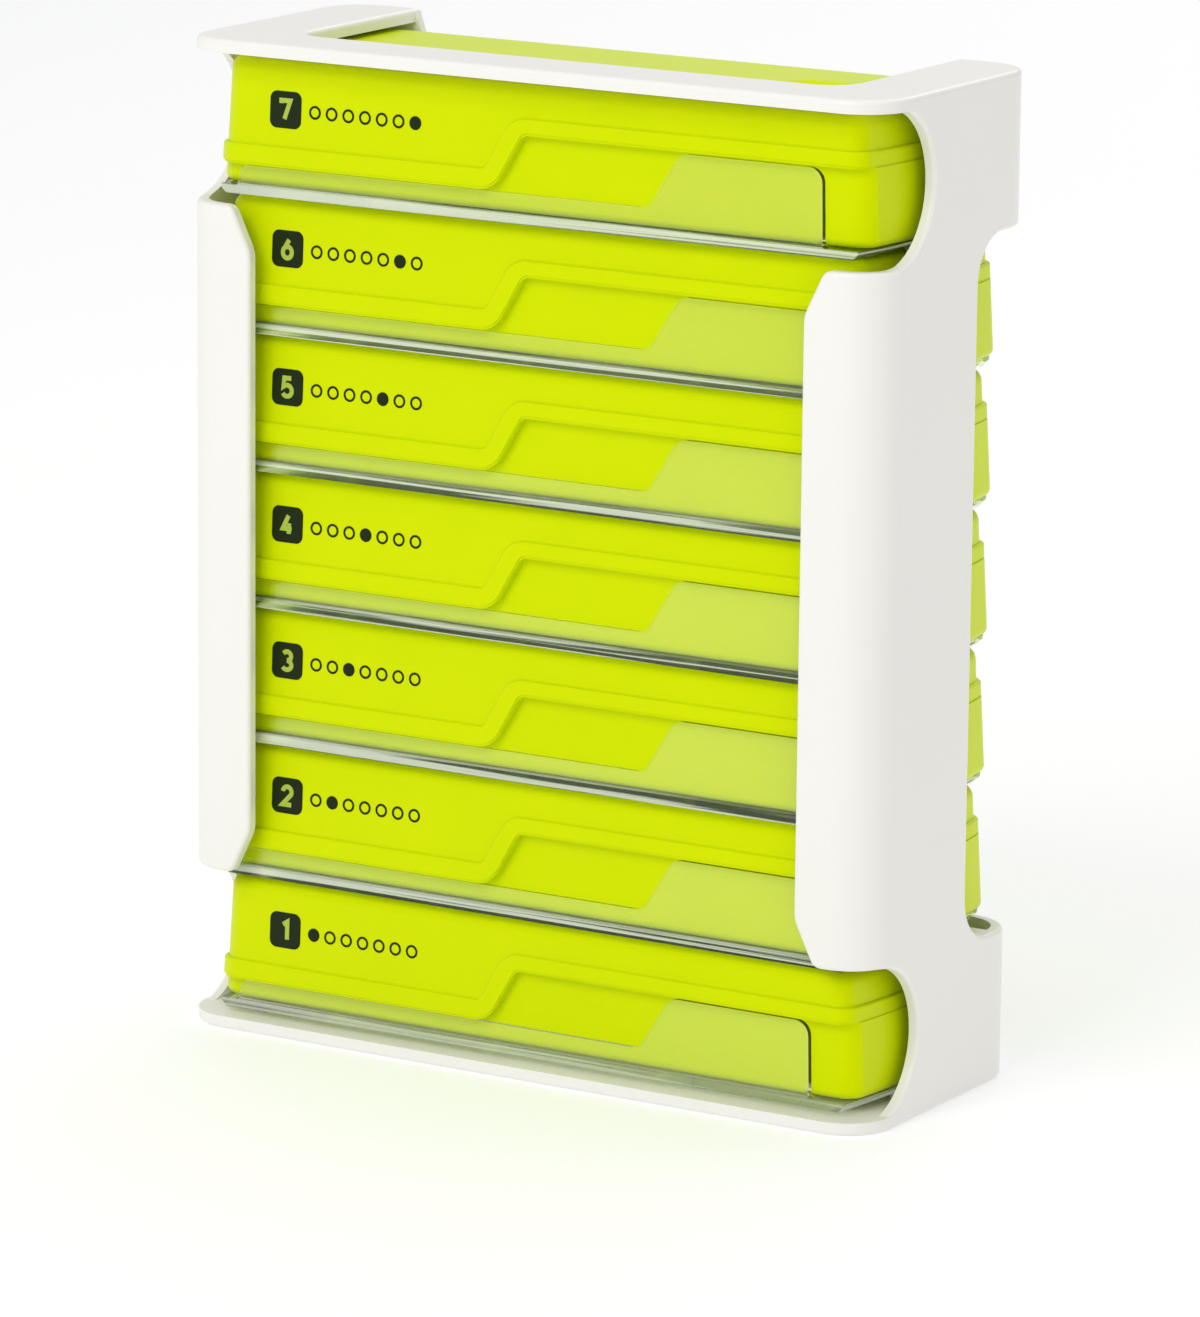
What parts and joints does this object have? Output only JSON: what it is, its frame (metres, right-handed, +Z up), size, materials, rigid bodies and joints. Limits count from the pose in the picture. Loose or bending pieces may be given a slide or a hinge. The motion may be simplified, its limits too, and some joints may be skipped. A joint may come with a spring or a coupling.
{
  "type": "weekly pill organizer",
  "caption": "Upright white magazine frame that holds a stack of lime-green day boxes on clear slide covers, each drawn out on ledges and opened by sliding its cover.",
  "frame": {"origin": "middle of the frame's underside", "axes": "+Z up, +X to the viewer's right seen from the front, +Y away from the viewer"},
  "size_m": [0.1228, 0.0474, 0.155],
  "materials": {
    "frame_white": "smooth white moulded plastic with a soft sheen",
    "box_green": "fine satin lime-green moulded plastic",
    "cover_clear": "clear moulded plastic with polished faces",
    "divider_green": "fine satin lime-green sheet"
  },
  "bodies": {
    "frame": {"frame": "frame_white"},
    "box_1": {"day_box_1": "box_green", "dividers_1": "divider_green"},
    "cover_1": {"slide_cover_1": "cover_clear"},
    "box_2": {"day_box_2": "box_green", "dividers_2": "divider_green"},
    "cover_2": {"slide_cover_2": "cover_clear"},
    "box_3": {"day_box_3": "box_green", "dividers_3": "divider_green"},
    "cover_3": {"slide_cover_3": "cover_clear"},
    "box_4": {"day_box_4": "box_green", "dividers_4": "divider_green"},
    "cover_4": {"slide_cover_4": "cover_clear"},
    "box_5": {"day_box_5": "box_green", "dividers_5": "divider_green"},
    "cover_5": {"slide_cover_5": "cover_clear"},
    "box_6": {"day_box_6": "box_green", "dividers_6": "divider_green"},
    "cover_6": {"slide_cover_6": "cover_clear"},
    "box_7": {"day_box_7": "box_green", "dividers_7": "divider_green"},
    "cover_7": {"slide_cover_7": "cover_clear"}
  },
  "joints": [
    {"name": "box_1_slide", "type": "slide", "parent": "frame", "child": "box_1", "axis": [0, -1, 0], "range_m": [0, 0.055]},
    {"name": "cover_1_slide", "type": "slide", "parent": "box_1", "child": "cover_1", "axis": [0, -1, 0], "range_m": [0, 0.024]},
    {"name": "box_2_slide", "type": "slide", "parent": "frame", "child": "cover_2", "axis": [0, 1, 0], "range_m": [0, 0.055]},
    {"name": "cover_2_slide", "type": "slide", "parent": "cover_2", "child": "box_2", "axis": [0, 1, 0], "range_m": [0, 0.024]},
    {"name": "box_3_slide", "type": "slide", "parent": "frame", "child": "cover_3", "axis": [0, 1, 0], "range_m": [0, 0.055]},
    {"name": "cover_3_slide", "type": "slide", "parent": "cover_3", "child": "box_3", "axis": [0, 1, 0], "range_m": [0, 0.024]},
    {"name": "box_4_slide", "type": "slide", "parent": "frame", "child": "cover_4", "axis": [0, 1, 0], "range_m": [0, 0.055]},
    {"name": "cover_4_slide", "type": "slide", "parent": "cover_4", "child": "box_4", "axis": [0, 1, 0], "range_m": [0, 0.024]},
    {"name": "box_5_slide", "type": "slide", "parent": "frame", "child": "cover_5", "axis": [0, 1, 0], "range_m": [0, 0.055]},
    {"name": "cover_5_slide", "type": "slide", "parent": "cover_5", "child": "box_5", "axis": [0, 1, 0], "range_m": [0, 0.024]},
    {"name": "box_6_slide", "type": "slide", "parent": "frame", "child": "cover_6", "axis": [0, 1, 0], "range_m": [0, 0.055]},
    {"name": "cover_6_slide", "type": "slide", "parent": "cover_6", "child": "box_6", "axis": [0, 1, 0], "range_m": [0, 0.024]},
    {"name": "box_7_slide", "type": "slide", "parent": "frame", "child": "box_7", "axis": [0, -1, 0], "range_m": [0, 0.055]},
    {"name": "cover_7_slide", "type": "slide", "parent": "box_7", "child": "cover_7", "axis": [0, -1, 0], "range_m": [0, 0.024]}
  ]
}
